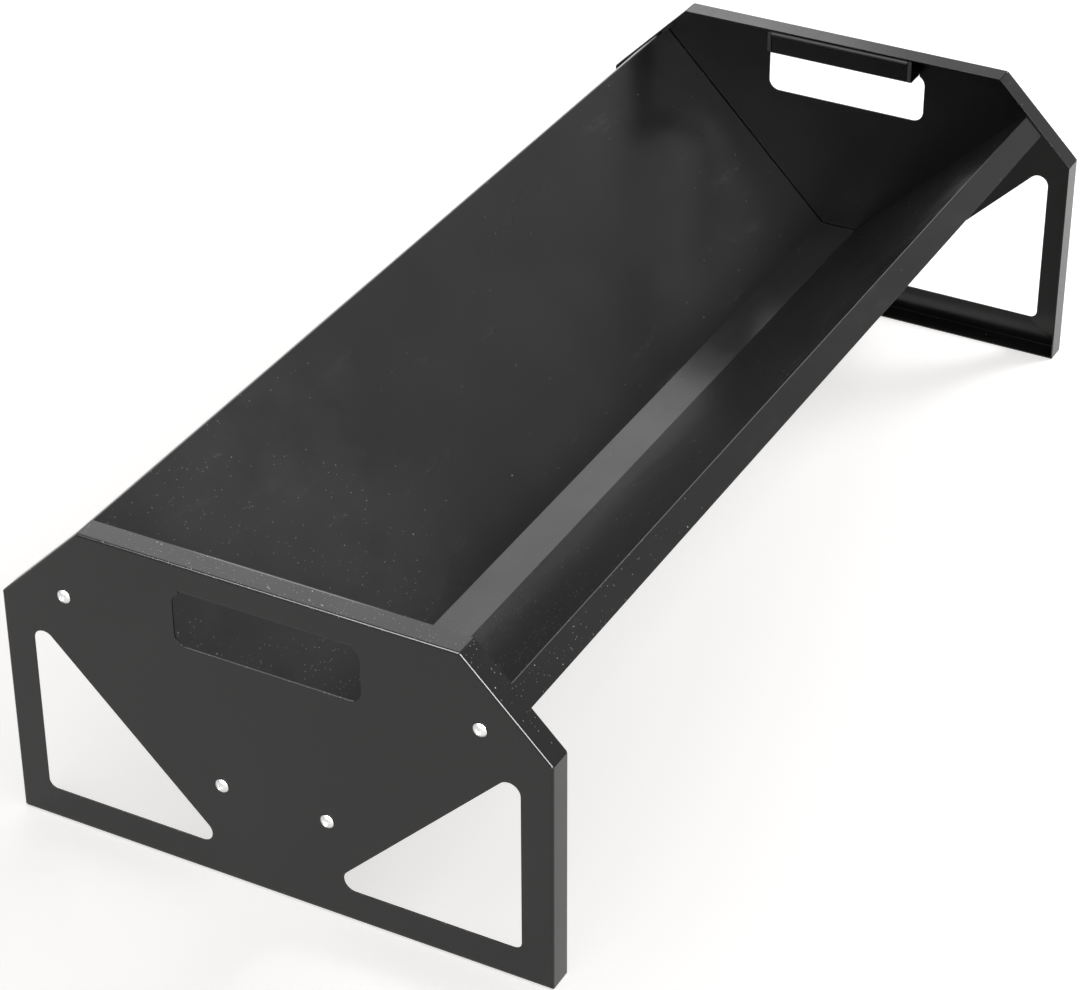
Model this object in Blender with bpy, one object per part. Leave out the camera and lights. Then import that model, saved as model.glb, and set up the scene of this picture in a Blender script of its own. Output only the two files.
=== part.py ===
"""Hay rack feeder: a folded sheet steel trough screwed between two folded end panels.

Metres, +Z up. The long side runs along X, and the origin is on the floor under the middle.
Every sheet is made the way it is folded: flat regions joined by bends and rolled edges.
"""
from math import cos, pi, radians, sin, sqrt, tan

import bmesh
import bpy
from mathutils import Matrix, Vector
from mathutils.geometry import tessellate_polygon

# Overall size
LENGTH = 1.200            # between the outer faces of the two end panels
WIDTH = 0.540
HEIGHT = 0.320

# Sheet and its folds
SHEET = 0.0015
INNER_RADIUS = 0.0010
OUTER_RADIUS = INNER_RADIUS + SHEET
BEND_STEPS = 5
FIT_GAP = 0.0003          # left between faces that touch
SEAM_HALF = 0.0004        # half of the open seam where two flanges meet

# End panel
SHOULDER = 0.235          # height of the vertical sides
CHAMFER = HEIGHT - SHOULDER
FLANGE = 0.025
CUTOUT_MARGIN = 0.030     # from the panel's side to the triangular cut-out
CUTOUT_BOTTOM = 0.032
CUTOUT_DROP = 0.019       # the cut-out's sloping edge is z = y - CUTOUT_DROP
CUTOUT_TIP_RADIUS = 0.011
CUTOUT_CORNER_RADIUS = 0.008

# Handle slot, and the grip folded from the slot's own material
SLOT_HALF = 0.0915
SLOT_BOTTOM = 0.237
SLOT_TOP = 0.292
SLOT_RADIUS = 0.012
GRIP_HALF = 0.0845
GRIP_TOP = 0.3178
ROLL_RADIUS = 0.0006      # inner radius of the rolls along the grip's three free edges
ROLL_OUTER = ROLL_RADIUS + SHEET
ROLL_STEPS = 9
RELIEF = 0.0003           # clearance cut beside the end of a bend

# Trough: its walls rise at 45 degrees, z = y + WALL_RISE on the inner face
WALL_RISE = 0.0667
FLOOR_HALF = 0.020        # half width of the flat bottom
LIP = 0.026
END_FLANGE = 0.025
TROUGH_RADIUS = 0.0004    # inner radius of all the trough's bends
TROUGH_OUTER = TROUGH_RADIUS + SHEET
LIP_TUCK = 0.010          # how far the lips reach under the panels' sloped flanges
WALL_NOTCH = 0.003        # past the lips, the wall's ends stop this far below the rim fold

# Fasteners: M6 screws with a domed head, on the centre line of the trough's end flanges
SCREW_OUTBOARD = (0.2033, 0.2503)   # (y, z) of the upper pair
SCREW_INBOARD = (0.0528, 0.1004)    # (y, z) of the lower pair
HOLE_RADIUS = 0.0033
SHANK_RADIUS = 0.0030
SHANK_LENGTH = 0.016
HEAD_RADIUS = 0.0066
HEAD_HEIGHT = 0.0035
SOCKET_RADIUS = 0.0023
SOCKET_DEPTH = 0.0018
WASHER_RADIUS = 0.0060
WASHER_THICKNESS = 0.0016
NUT_ACROSS_FLATS = 0.0100
NUT_THICKNESS = 0.0050

ROUND_SIDES = 24
CORNER_STEPS = 6


def clear_scene():
    for obj in list(bpy.data.objects):
        bpy.data.objects.remove(obj, do_unlink=True)


def make_material(name, colour, roughness, metallic):
    material = bpy.data.materials.new(name)
    material.use_nodes = True
    shader = material.node_tree.nodes["Principled BSDF"]
    shader.inputs["Base Color"].default_value = (*colour, 1.0)
    shader.inputs["Roughness"].default_value = roughness
    shader.inputs["Metallic"].default_value = metallic
    return material


def add_object(name, mesh, material, matrix=None):
    obj = bpy.data.objects.new(name, mesh)
    if not mesh.materials:
        mesh.materials.append(material)
    bpy.context.collection.objects.link(obj)
    if matrix is not None:
        obj.matrix_world = matrix
    return obj


class FoldedSheet:
    """A sheet held as pairs of points, one on each face, and the regions between them."""

    def __init__(self):
        self.front = []
        self.back = []
        self.faces = []

    def point(self, front, back):
        self.front.append(Vector(front))
        self.back.append(Vector(back))
        return len(self.front) - 1

    def face(self, corners, normal):
        """Adds a face, wound so that its front looks along normal."""
        points = [self.front[i] for i in corners]
        middle = sum(points, Vector()) / len(points)
        area = Vector()
        for a, b in zip(points, points[1:] + points[:1]):
            area += (a - middle).cross(b - middle)
        if area.dot(normal) < 0:
            corners = list(reversed(corners))
        self.faces.append(tuple(corners))

    def region(self, loops, normal):
        """Fills the flat region inside the first loop and outside the others."""
        flat = [i for loop in loops for i in loop]
        outlines = [[self.front[i] for i in loop] for loop in loops]
        for triangle in tessellate_polygon(outlines):
            self.face([flat[k] for k in triangle], normal)

    def bend(self, edge, origin, along, out, normal, trims, inner=INNER_RADIUS):
        """Folds 90 degrees on from edge, a pair of points, away from normal; returns the far edge.

        Positions are origin + along * s + out * a - normal * b. trims gives the two ends' s
        for a given a, the point's distance from the bend's start.
        """
        last = edge
        outer = inner + SHEET
        for step in range(1, BEND_STEPS + 1):
            angle = pi / 2 * step / BEND_STEPS
            front = (outer * sin(angle), outer * (1 - cos(angle)))
            back = (inner * sin(angle), SHEET + inner * (1 - cos(angle)))
            facing = normal * cos(angle) + out * sin(angle)
            last = self.strip(last, origin, along, out, normal, trims, front, back, facing)
        return last

    def roll(self, edge, origin, along, out, normal, length):
        """Rolls a free edge 270 degrees round towards normal."""
        last = edge
        trims = (lambda a: 0.0, lambda a: length)
        for step in range(1, ROLL_STEPS + 1):
            angle = 1.5 * pi * step / ROLL_STEPS
            front = (ROLL_RADIUS * sin(angle), -ROLL_RADIUS * (1 - cos(angle)))
            back = (ROLL_OUTER * sin(angle), SHEET - ROLL_OUTER * (1 - cos(angle)))
            facing = normal * cos(angle) - out * sin(angle)
            last = self.strip(last, origin, along, out, normal, trims, front, back, facing)

    def strip(self, edge, origin, along, out, normal, trims, front, back, facing):
        """Adds the two points of one more station and the face that joins it to edge."""
        pair = []
        for trim in trims:
            places = []
            for a, b in (front, back):
                places.append(origin + along * trim(a) + out * a - normal * b)
            pair.append(self.point(*places))
        self.face([edge[0], edge[1], pair[1], pair[0]], facing)
        return pair

    def mesh(self, name):
        """Closes the sheet: both faces, and a rim along every free edge."""
        count = len(self.front)
        mesh = bpy.data.meshes.new(name)
        faces = list(self.faces)
        faces += [tuple(i + count for i in reversed(face)) for face in self.faces]
        used = {}
        for face in self.faces:
            for a, b in zip(face, face[1:] + face[:1]):
                used[(a, b)] = True
        for a, b in used:
            if (b, a) not in used:
                faces.append((b, a, a + count, b + count))
        mesh.from_pydata(self.front + self.back, [], faces)
        mesh.validate()
        shade(mesh)
        return mesh


def shade(mesh):
    mesh.shade_smooth()
    mesh.set_sharp_from_angle(angle=radians(25))


def rounded(corners, radii):
    """Rounds the corners of a plane outline and returns its points."""
    points = []
    for i, corner in enumerate(corners):
        here = Vector(corner)
        before = (Vector(corners[i - 1]) - here).normalized()
        after = (Vector(corners[(i + 1) % len(corners)]) - here).normalized()
        half = before.angle(after) / 2
        centre = here + (before + after).normalized() * radii[i] / sin(half)
        start = here + before * radii[i] / tan(half) - centre
        turn = start.angle_signed(here + after * radii[i] / tan(half) - centre)
        for step in range(CORNER_STEPS + 1):
            points.append(centre + Matrix.Rotation(-turn * step / CORNER_STEPS, 2) @ start)
    return points


def circle(centre, radius, sides=ROUND_SIDES):
    turns = [2 * pi * k / sides for k in range(sides)]
    return [Vector((centre[0] + radius * cos(t), centre[1] + radius * sin(t))) for t in turns]


def screw_places():
    for y, z in (SCREW_OUTBOARD, SCREW_INBOARD):
        for side in (-1, 1):
            yield side * y, z


# ---------------------------------------------------------------- end panel

def panel_outline():
    """The six corners, anticlockwise as seen against the inward direction."""
    half = WIDTH / 2
    top = half - CHAMFER
    return [(half, 0), (half, SHOULDER), (top, HEIGHT), (-top, HEIGHT), (-half, SHOULDER), (-half, 0)]


def cutout_outline(side):
    outer = WIDTH / 2 - CUTOUT_MARGIN
    corners = [(side * outer, CUTOUT_BOTTOM), (side * outer, outer - CUTOUT_DROP),
               (side * (CUTOUT_BOTTOM + CUTOUT_DROP), CUTOUT_BOTTOM)]
    return rounded(corners, (CUTOUT_CORNER_RADIUS, CUTOUT_TIP_RADIUS, CUTOUT_TIP_RADIUS))


def panel_mesh():
    """One end panel with its web's outer face on x = 0, folded towards +X."""
    sheet = FoldedSheet()
    outward = Vector((-1, 0, 0))

    def web_point(y, z):
        return sheet.point((0, y, z), (SHEET, y, z))

    corners = [Vector((0, y, z)) for y, z in panel_outline()]
    count = len(corners)
    web_loop = []
    flanges = []
    for i, start in enumerate(corners):
        end = corners[(i + 1) % count]
        along = (end - start).normalized()
        out = along.cross(outward)
        if out.dot(start + end - 2 * Vector((0, 0, HEIGHT / 2))) < 0:
            out = -out
        before = (start - corners[i - 1]).normalized()
        after = (corners[(i + 2) % count] - end).normalized()
        mitres = [tan(before.angle(along) / 2), tan(along.angle(after) / 2)]
        flanges.append((start, end, along, out, mitres))
    for start, end, along, out, mitres in flanges:
        length = (end - start).length
        origin = start - out * OUTER_RADIUS

        def first(a, mitre=mitres[0]):
            return SEAM_HALF + (OUTER_RADIUS - a) * mitre

        def second(a, mitre=mitres[1], length=length):
            return length - SEAM_HALF - (OUTER_RADIUS - a) * mitre

        edge = []
        for trim in (first, second):
            place = origin + along * trim(0)
            edge.append(web_point(place.y, place.z))
        web_loop += edge
        last = sheet.bend(edge, origin, along, out, outward, (first, second))
        sheet.strip(last, origin, along, out, outward, (first, second),
                    (OUTER_RADIUS, FLANGE), (INNER_RADIUS, FLANGE), out)
    slot, grip_edge = slot_loop(web_point)
    holes = [slot]
    for side in (-1, 1):
        holes.append([web_point(*p) for p in cutout_outline(side)])
    for place in screw_places():
        holes.append([web_point(*p) for p in circle(place, HOLE_RADIUS)])
    sheet.region([web_loop] + holes, outward)
    fold_grip(sheet, grip_edge, outward)
    return sheet.mesh("end_panel")


def slot_loop(web_point):
    """The handle slot's edge, with the two points where the grip folds off its top."""
    corners = [(-SLOT_HALF, SLOT_BOTTOM), (SLOT_HALF, SLOT_BOTTOM),
               (SLOT_HALF, SLOT_TOP), (-SLOT_HALF, SLOT_TOP)]
    beside = GRIP_HALF + RELIEF
    fold = SLOT_TOP + OUTER_RADIUS
    into_arc = beside - (SLOT_HALF - SLOT_RADIUS)
    meets = SLOT_TOP - SLOT_RADIUS + sqrt(SLOT_RADIUS ** 2 - into_arc ** 2)
    kept = [p for p in rounded(corners, [SLOT_RADIUS] * 4)
            if abs(p.x) > beside or p.y < SLOT_BOTTOM + SLOT_RADIUS]
    low_and_right = [p for p in kept if p.y < SLOT_BOTTOM + SLOT_RADIUS or p.x > 0]
    left = [p for p in kept if p not in low_and_right]
    outline = low_and_right + [(beside, meets), (beside, fold), (GRIP_HALF, fold),
                               (-GRIP_HALF, fold), (-beside, fold), (-beside, meets)] + left
    loop = [web_point(*p) for p in outline]
    first = len(low_and_right) + 2
    return loop, [loop[first], loop[first + 1]]


def fold_grip(sheet, edge, outward):
    """Folds the grip in from the slot's top edge, then up, and rolls its three free edges."""
    along = Vector((0, -1, 0))
    down = Vector((0, 0, -1))
    up = -down
    inward = -outward
    ends = (lambda a: 0.0, lambda a: 2 * GRIP_HALF)
    origin = Vector((0, GRIP_HALF, SLOT_TOP + OUTER_RADIUS))
    last = sheet.bend(edge, origin, along, down, outward, ends)
    shelf = FLANGE - OUTER_RADIUS
    last = sheet.strip(last, origin, along, down, outward, ends,
                       (OUTER_RADIUS, shelf), (INNER_RADIUS, shelf), down)
    origin = Vector((shelf, GRIP_HALF, SLOT_TOP))
    last = sheet.bend(last, origin, along, inward, down, ends)

    def plate_point(y, z):
        return sheet.point((FLANGE, y, z), (FLANGE - SHEET, y, z))

    low = SLOT_TOP + OUTER_RADIUS + RELIEF
    roll_start = GRIP_TOP - ROLL_OUTER
    side_half = GRIP_HALF - ROLL_OUTER
    top_half = side_half - ROLL_OUTER - FIT_GAP
    ear = top_half + FIT_GAP
    sides = {}
    ears = {}
    for side in (1, -1):
        sides[side] = [plate_point(side * side_half, z) for z in (low, GRIP_TOP)]
        ears[side] = [plate_point(side * ear, z) for z in (GRIP_TOP, roll_start)]
    top = [plate_point(y, roll_start) for y in (top_half, -top_half)]
    sheet.region([[last[0], last[1], *sides[-1], *ears[-1], top[1],
                   top[0], *reversed(ears[1]), *reversed(sides[1])]], inward)
    for side, pair in sides.items():
        origin = Vector((FLANGE, side * side_half, low))
        sheet.roll(pair, origin, up, Vector((0, side, 0)), inward, GRIP_TOP - low)
    origin = Vector((FLANGE, top_half, roll_start))
    sheet.roll(top, origin, along, up, inward, 2 * top_half)


# ---------------------------------------------------------------- trough

def trough_profile():
    """Stations across the trough as (upper point, lower point) pairs in (y, z), from -Y to +Y.

    Also returns the places along it: where each wall's notch, and each end flange, starts.
    """
    slope = 1 / sqrt(2)
    floor = WALL_RISE + FLOOR_HALF
    rim_sum = WIDTH / 2 + SHOULDER - (SHEET + FIT_GAP) / slope
    fold_y = (rim_sum - WALL_RISE) / 2
    corners = [Vector((fold_y + LIP * slope, fold_y + WALL_RISE - LIP * slope)),
               Vector((fold_y, fold_y + WALL_RISE)),
               Vector((FLOOR_HALF, floor)), Vector((-FLOOR_HALF, floor)),
               Vector((-fold_y, fold_y + WALL_RISE)),
               Vector((-fold_y - LIP * slope, fold_y + WALL_RISE - LIP * slope))]
    corners.reverse()
    stations = []
    marks = {}

    def down_side(direction):
        """The side of a leg that faces away from the hay."""
        return Vector((direction.y, -direction.x))

    def add(upper, lower):
        stations.append((upper, lower))
        return len(stations) - 1

    def add_flat(place, direction):
        return add(place, place + down_side(direction) * SHEET)

    first_way = (corners[1] - corners[0]).normalized()
    add_flat(corners[0], first_way)
    for i in range(1, 5):
        way_in = (corners[i] - corners[i - 1]).normalized()
        way_out = (corners[i + 1] - corners[i]).normalized()
        turn = way_in.angle_signed(way_out)
        rim = i in (1, 4)
        upper_radius = TROUGH_OUTER if rim else TROUGH_RADIUS
        lower_radius = TROUGH_RADIUS if rim else TROUGH_OUTER
        to_centre = down_side(way_in) if rim else -down_side(way_in)
        start = corners[i] - way_in * upper_radius * tan(abs(turn) / 2)
        centre = start + to_centre * upper_radius
        if i == 4:
            marks["wall_right_top"] = add_flat(corners[4] - way_in * WALL_NOTCH, way_in)
        for step in range(BEND_STEPS + 1):
            spin = Matrix.Rotation(-turn * step / BEND_STEPS, 2)
            arm = spin @ (-to_centre)
            index = add(centre + arm * upper_radius, centre + arm * lower_radius)
            if step == 0:
                marks[("enter", i)] = index
        marks[("leave", i)] = index
        if i == 1:
            marks["wall_left_top"] = add_flat(corners[1] + way_out * WALL_NOTCH, way_out)
    last_way = (corners[5] - corners[4]).normalized()
    add_flat(corners[5], last_way)
    return stations, marks


def trough_mesh():
    stations, marks = trough_profile()
    sheet = FoldedSheet()
    lip_end = LENGTH / 2 - FLANGE + LIP_TUCK
    flange_face = LENGTH / 2 - SHEET - FIT_GAP
    fold_start = flange_face - TROUGH_OUTER
    wall_span = range(marks["wall_left_top"], marks["wall_right_top"] + 1)

    def points_at(x, span):
        return {k: sheet.point((x, *stations[k][0]), (x, *stations[k][1])) for k in span}

    columns = [points_at(-fold_start, wall_span)]
    columns.append(points_at(-lip_end, range(len(stations))))
    columns.append(points_at(lip_end, range(len(stations))))
    columns.append(points_at(fold_start, wall_span))
    up = Vector((0, 0, 1))
    for left, right in zip(columns, columns[1:]):
        shared = [k for k in left if k in right]
        for a, b in zip(shared, shared[1:]):
            sheet.face([left[a], left[b], right[b], right[a]], up)
    legs = [("wall_left_top", ("enter", 2)), (("leave", 2), ("enter", 3)),
            (("leave", 3), "wall_right_top")]
    for column, side in ((columns[0], -1), (columns[-1], 1)):
        for first, last in legs:
            pair = [column[marks[first]], column[marks[last]]]
            fold_end_flange(sheet, pair, side, fold_start)
    return sheet.mesh("trough")


def fold_end_flange(sheet, edge, side, fold_start):
    """Folds one flange down the outside of the trough at its end, with its screw holes."""
    start, end = (sheet.front[i].copy() for i in edge)
    along = (end - start).normalized()
    out = Vector((side, 0, 0))
    normal = along.cross(out)
    if normal.z < 0:
        normal = -normal
    length = (end - start).length
    ends = (lambda a: 0.0, lambda a: length)
    last = sheet.bend(edge, start, along, out, normal, ends, TROUGH_RADIUS)
    face_x = side * (fold_start + TROUGH_OUTER)
    back_x = face_x - side * SHEET

    def flange_point(y, z):
        return sheet.point((face_x, y, z), (back_x, y, z))

    drop = normal * END_FLANGE
    tips = [flange_point(p.y, p.z) for p in (end - drop, start - drop)]
    holes = []
    for y, z in screw_places():
        reach = (Vector((start.x, y, z)) - start).dot(along)
        depth = (start - Vector((start.x, y, z))).dot(normal)
        if 0 < reach < length and 0 < depth < END_FLANGE:
            holes.append([flange_point(*p) for p in circle((y, z), HOLE_RADIUS)])
    sheet.region([[last[0], last[1], *tips]] + holes, out)


# ---------------------------------------------------------------- fasteners

def turned_mesh(name, profile, sides=ROUND_SIDES):
    """Turns a closed (x, radius) profile about the X axis. It may touch the axis at its ends."""
    bm = bmesh.new()
    rings = []
    for x, radius in profile:
        if radius == 0:
            rings.append([bm.verts.new((x, 0, 0))])
            continue
        ring = [bm.verts.new((x, p.x, p.y)) for p in circle((0, 0), radius, sides)]
        rings.append(ring)
    closed = profile[0][1] > 0
    pairs = list(zip(rings, rings[1:] + rings[:1])) if closed else list(zip(rings, rings[1:]))
    for low, high in pairs:
        for k in range(sides):
            n = (k + 1) % sides
            if len(low) == 1:
                bm.faces.new((low[0], high[k], high[n]))
            elif len(high) == 1:
                bm.faces.new((low[n], low[k], high[0]))
            else:
                bm.faces.new((low[k], high[k], high[n], low[n]))
    bmesh.ops.recalc_face_normals(bm, faces=bm.faces)
    mesh = bpy.data.meshes.new(name)
    bm.to_mesh(mesh)
    bm.free()
    shade(mesh)
    return mesh


def screw_mesh():
    """The head stands out towards -X from x = 0, where it bears on the panel."""
    sphere = (HEAD_RADIUS ** 2 + HEAD_HEIGHT ** 2) / (2 * HEAD_HEIGHT)
    dome = []
    steps = 5
    for step in range(steps + 1):
        radius = SOCKET_RADIUS + (HEAD_RADIUS - SOCKET_RADIUS) * step / steps
        height = HEAD_HEIGHT - sphere + sqrt(sphere ** 2 - radius ** 2)
        dome.append((-max(height, 0.0004), radius))
    top = dome[0][0]
    profile = [(top + SOCKET_DEPTH, 0), (top + SOCKET_DEPTH, SOCKET_RADIUS * 0.8)]
    profile += dome
    profile += [(0, HEAD_RADIUS), (0, SHANK_RADIUS), (SHANK_LENGTH - 0.0006, SHANK_RADIUS),
                (SHANK_LENGTH, SHANK_RADIUS - 0.0006), (SHANK_LENGTH, 0)]
    return turned_mesh("screw", profile)


def washer_mesh():
    bore = SHANK_RADIUS + FIT_GAP
    thick = WASHER_THICKNESS
    profile = [(0, bore), (0, WASHER_RADIUS), (thick, WASHER_RADIUS), (thick, bore)]
    return turned_mesh("washer", profile)


def nut_mesh():
    """A hexagon nut with chamfered corners, bored to clear the screw."""
    bore = SHANK_RADIUS + FIT_GAP
    corner = NUT_ACROSS_FLATS / 2 / cos(pi / 6)
    chamfer = 0.0006
    bm = bmesh.new()
    rings = []
    for x, radius, sides in ((0, bore, 24), (0, corner - chamfer, 6), (chamfer, corner, 6),
                             (NUT_THICKNESS - chamfer, corner, 6),
                             (NUT_THICKNESS, corner - chamfer, 6), (NUT_THICKNESS, bore, 24)):
        points = circle((0, 0), radius, 24)
        if sides == 6:
            points = hexagon_points(radius)
        rings.append([bm.verts.new((x, p.x, p.y)) for p in points])
    for low, high in zip(rings, rings[1:] + rings[:1]):
        for k in range(24):
            n = (k + 1) % 24
            bm.faces.new((low[k], high[k], high[n], low[n]))
    bmesh.ops.recalc_face_normals(bm, faces=bm.faces)
    mesh = bpy.data.meshes.new("nut")
    bm.to_mesh(mesh)
    bm.free()
    shade(mesh)
    return mesh


def hexagon_points(corner):
    """24 points around a hexagon, four to each side, in step with circle()."""
    tips = [Vector((corner * cos(k * pi / 3), corner * sin(k * pi / 3))) for k in range(6)]
    points = []
    for a, b in zip(tips, tips[1:] + tips[:1]):
        points += [a.lerp(b, k / 4) for k in range(4)]
    return points


# ---------------------------------------------------------------- assembly

def build():
    clear_scene()
    panel_paint = make_material("panel_paint", (0.030, 0.030, 0.030), 0.32, 0.0)
    trough_paint = make_material("trough_paint", (0.026, 0.026, 0.027), 0.28, 0.0)
    zinc = {name: make_material(f"{name}_zinc", (0.70, 0.70, 0.70), 0.30, 1.0)
            for name in ("screw", "washer", "nut")}
    ends = {"left": Matrix.Translation((-LENGTH / 2, 0, 0)),
            "right": Matrix.Translation((LENGTH / 2, 0, 0)) @ Matrix.Rotation(pi, 4, "Z")}
    panel = panel_mesh()
    for side, place in ends.items():
        add_object(f"end_panel_{side}", panel, panel_paint, place)
    add_object("trough", trough_mesh(), trough_paint)
    screw, washer, nut = screw_mesh(), washer_mesh(), nut_mesh()
    behind_head = -FIT_GAP
    behind_flange = 2 * SHEET + 2 * FIT_GAP
    behind_washer = behind_flange + WASHER_THICKNESS + FIT_GAP
    for side, place in ends.items():
        for number, (y, z) in enumerate(screw_places(), start=1):
            label = f"{side}_{number}"
            for name, mesh, depth in (("screw", screw, behind_head),
                                      ("washer", washer, behind_flange),
                                      ("nut", nut, behind_washer)):
                at = place @ Matrix.Translation((depth, y, z))
                add_object(f"{name}_{label}", mesh, zinc[name], at)


build()
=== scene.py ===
"""Looks for the hay rack feeder: finely folded sheets, real fasteners, paint, zinc and the studio."""
from math import cos, pi, radians, sin, sqrt, tan

import bmesh
import bpy
from mathutils import Matrix, Vector
from mathutils.geometry import tessellate_polygon


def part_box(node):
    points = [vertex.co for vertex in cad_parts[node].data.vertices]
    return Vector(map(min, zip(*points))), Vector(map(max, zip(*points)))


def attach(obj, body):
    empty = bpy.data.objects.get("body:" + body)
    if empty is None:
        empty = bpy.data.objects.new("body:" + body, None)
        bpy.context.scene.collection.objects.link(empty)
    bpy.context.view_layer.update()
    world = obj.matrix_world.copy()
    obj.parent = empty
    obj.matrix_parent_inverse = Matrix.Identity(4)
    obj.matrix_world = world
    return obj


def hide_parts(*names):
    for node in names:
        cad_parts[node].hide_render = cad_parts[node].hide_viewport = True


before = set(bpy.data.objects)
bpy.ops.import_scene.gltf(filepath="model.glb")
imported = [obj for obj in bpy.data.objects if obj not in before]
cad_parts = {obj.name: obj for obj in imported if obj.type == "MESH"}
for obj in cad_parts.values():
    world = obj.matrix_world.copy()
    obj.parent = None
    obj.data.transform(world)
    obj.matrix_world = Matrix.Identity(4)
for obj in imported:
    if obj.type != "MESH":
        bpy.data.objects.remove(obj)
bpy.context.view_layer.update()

# Sizes read from the frame
PANEL_LOW, PANEL_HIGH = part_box("end_panel_left")
LENGTH = -2 * PANEL_LOW.x                    # between the outer faces of the two end panels
WIDTH = PANEL_HIGH.y - PANEL_LOW.y
HEIGHT = PANEL_HIGH.z

# Sheet and its folds
SHEET = 0.0015
ROLL_RADIUS = 0.0006                         # inner radius of the rolls along the grip's free edges
ROLL_OUTER = ROLL_RADIUS + SHEET
FLANGE = PANEL_HIGH.x - PANEL_LOW.x - ROLL_RADIUS - ROLL_OUTER   # the rolls stand out past it
INNER_RADIUS = 0.0010
OUTER_RADIUS = INNER_RADIUS + SHEET
BEND_STEPS = 12
EDGE_ROUNDING = 0.00018                      # paint rounds every cut edge
CUT_EDGE_ANGLE = radians(55)                 # only edges sharper than this are cut edges
FIT_GAP = 0.0003
SEAM_HALF = 0.0004

# End panel
SHOULDER = 0.235
CHAMFER = HEIGHT - SHOULDER
CUTOUT_MARGIN = 0.030
CUTOUT_BOTTOM = 0.032
CUTOUT_DROP = 0.019
CUTOUT_TIP_RADIUS = 0.011
CUTOUT_CORNER_RADIUS = 0.008
SLOT_HALF = 0.0915
SLOT_BOTTOM = 0.237
SLOT_TOP = 0.292
SLOT_RADIUS = 0.012
GRIP_HALF = 0.0845
GRIP_TOP = 0.3178
ROLL_STEPS = 27
RELIEF = 0.0003
OPENING_BAND = 0.0012                        # even band of faces kept round every opening
OUTLINE_BAND = 0.0004
MITRE_LIMIT = 0.6                            # a band reaches no farther than 1 / 0.6 of its width

# Trough
WALL_RISE = 0.0667
FLOOR_HALF = 0.020
LIP = 0.026
END_FLANGE = 0.025
TROUGH_RADIUS = 0.0004                       # inner radius of all the trough's bends
LIP_TUCK = 0.010                             # how far the lips reach under the panels' flanges
WALL_NOTCH = 0.003                           # past the lips, the wall stops this far below the rim

# Screws
HOLE_RADIUS = 0.0033
HEAD_RIM = 0.0004                            # upright band round the domed head
HEAD_BEVEL = 0.00016
DOME_STEPS = 12
RECESS_FLATS = 0.0040
RECESS_MOUTH = 0.0045
RECESS_DEPTH = 0.0018
RECESS_TAPER = 0.97                          # the recess's floor against its mouth
RECESS_CHAMFER = 0.0003
RECESS_LAND = 0.0004                         # between the recess's tips and the dome
DRILL_POINT = 0.0005
SHANK_RADIUS = 0.0030
NECK_FILLET = 0.0002
PLAIN_SHANK = 0.0030                         # length without thread under the head
THREAD_PITCH = 0.0010
THREAD_DEPTH = 0.0006
THREAD_STEPS = 8                             # rings to a turn
RUN_OUT = 0.15                               # share of the thread's depth left at the tip
TIP_TAPER = 0.0007
TIP_CHAMFER = 0.0010

# Washers and nuts
WASHER_EDGE = 0.00025
NUT_FLATS = 0.0100
NUT_FACE = 0.96                              # the round face against the flats
NUT_CHAMFER = radians(30)
BORE_CHAMFER = 0.0006
HEXAGON_TIP = 0.985                          # how much of a hexagon's tips is left

# Round shapes
ROUND_SIDES = 48
CORNER_STEPS = 14
SHARP_ANGLE = radians(38)

# How each fastener is turned about its axis, so that no two look alike
FIRST_TURN = 0.4
TURN_STEP = 1.7
RIGHT_TURN = 0.9

# Paint: where it is speckled, where it is paler, and where a highlight is painted along an edge; a pair is
# where a change begins and ends
SPECKS_START = -0.15                         # in X; the specks grow in number from here to -X
SPECKS_RISE = 2.6                            # per metre
SPECK_SHARPNESS = 30.0                       # how fast a speck ends at its edge
LIP_SPECKS = (-0.2180, -0.2165)              # in Y; the lip's own specks end here
STEEP_SPECKS = (-0.200, -0.185)              # in Y; there are fewer specks before it
# A paler patch on the +Y wall near the -X end
PATCH_MIDDLE = -0.38                          # in X
PATCH_FADE = (0.04, 0.26)                     # away from its middle
PATCH_ACROSS = (-0.15, 0.10)                  # in Y
# The painted highlight along the free edge of the -X panel's top flange
HIGHLIGHT_WIDTH = (0.0022, 0.0012)                 # in from the flange's free edge
HIGHLIGHT_DEPTH = (0.0016, 0.0010)                 # down from the flange's top face
HIGHLIGHT_START = (-0.12, -0.05)                   # in Y
HIGHLIGHT_END = (0.05, 0.11)                       # in Y

# Studio
FLOOR_REACH = 30.0
FLOOR_Z = -0.0002
# Where the dim sheet of painted shade under the trough lies
SHADE_SHEET_Z = 0.0004
SHADE_SHEET_LOW = (-0.35, -0.30)
SHADE_SHEET_HIGH = (0.54, 0.30)
AIR_COLOUR = (0.60, 0.605, 0.615, 1.0)
GLOW_COLOUR = (1.0, 0.985, 0.965, 1.0)

# Camera: where it looks, from how far, and its tilt
CAMERA_TARGET = Vector((-0.1467, -0.0169, 0.160))
CAMERA_DISTANCE = 3.1795
CAMERA_AZIMUTH = radians(-61.9)
CAMERA_ELEVATION = radians(32.98)
CAMERA_ROLL = radians(-0.20)
CAMERA_LENS = 112.2
CAMERA_SENSOR = 36.0


# ---------------------------------------------------------------- folded sheet

def loop_area(points):
    """Twice a loop's area, as a vector along its normal."""
    middle = sum(points, Vector()) / len(points)
    area = Vector()
    for a, b in zip(points, points[1:] + points[:1]):
        area += (a - middle).cross(b - middle)
    return area


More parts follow.
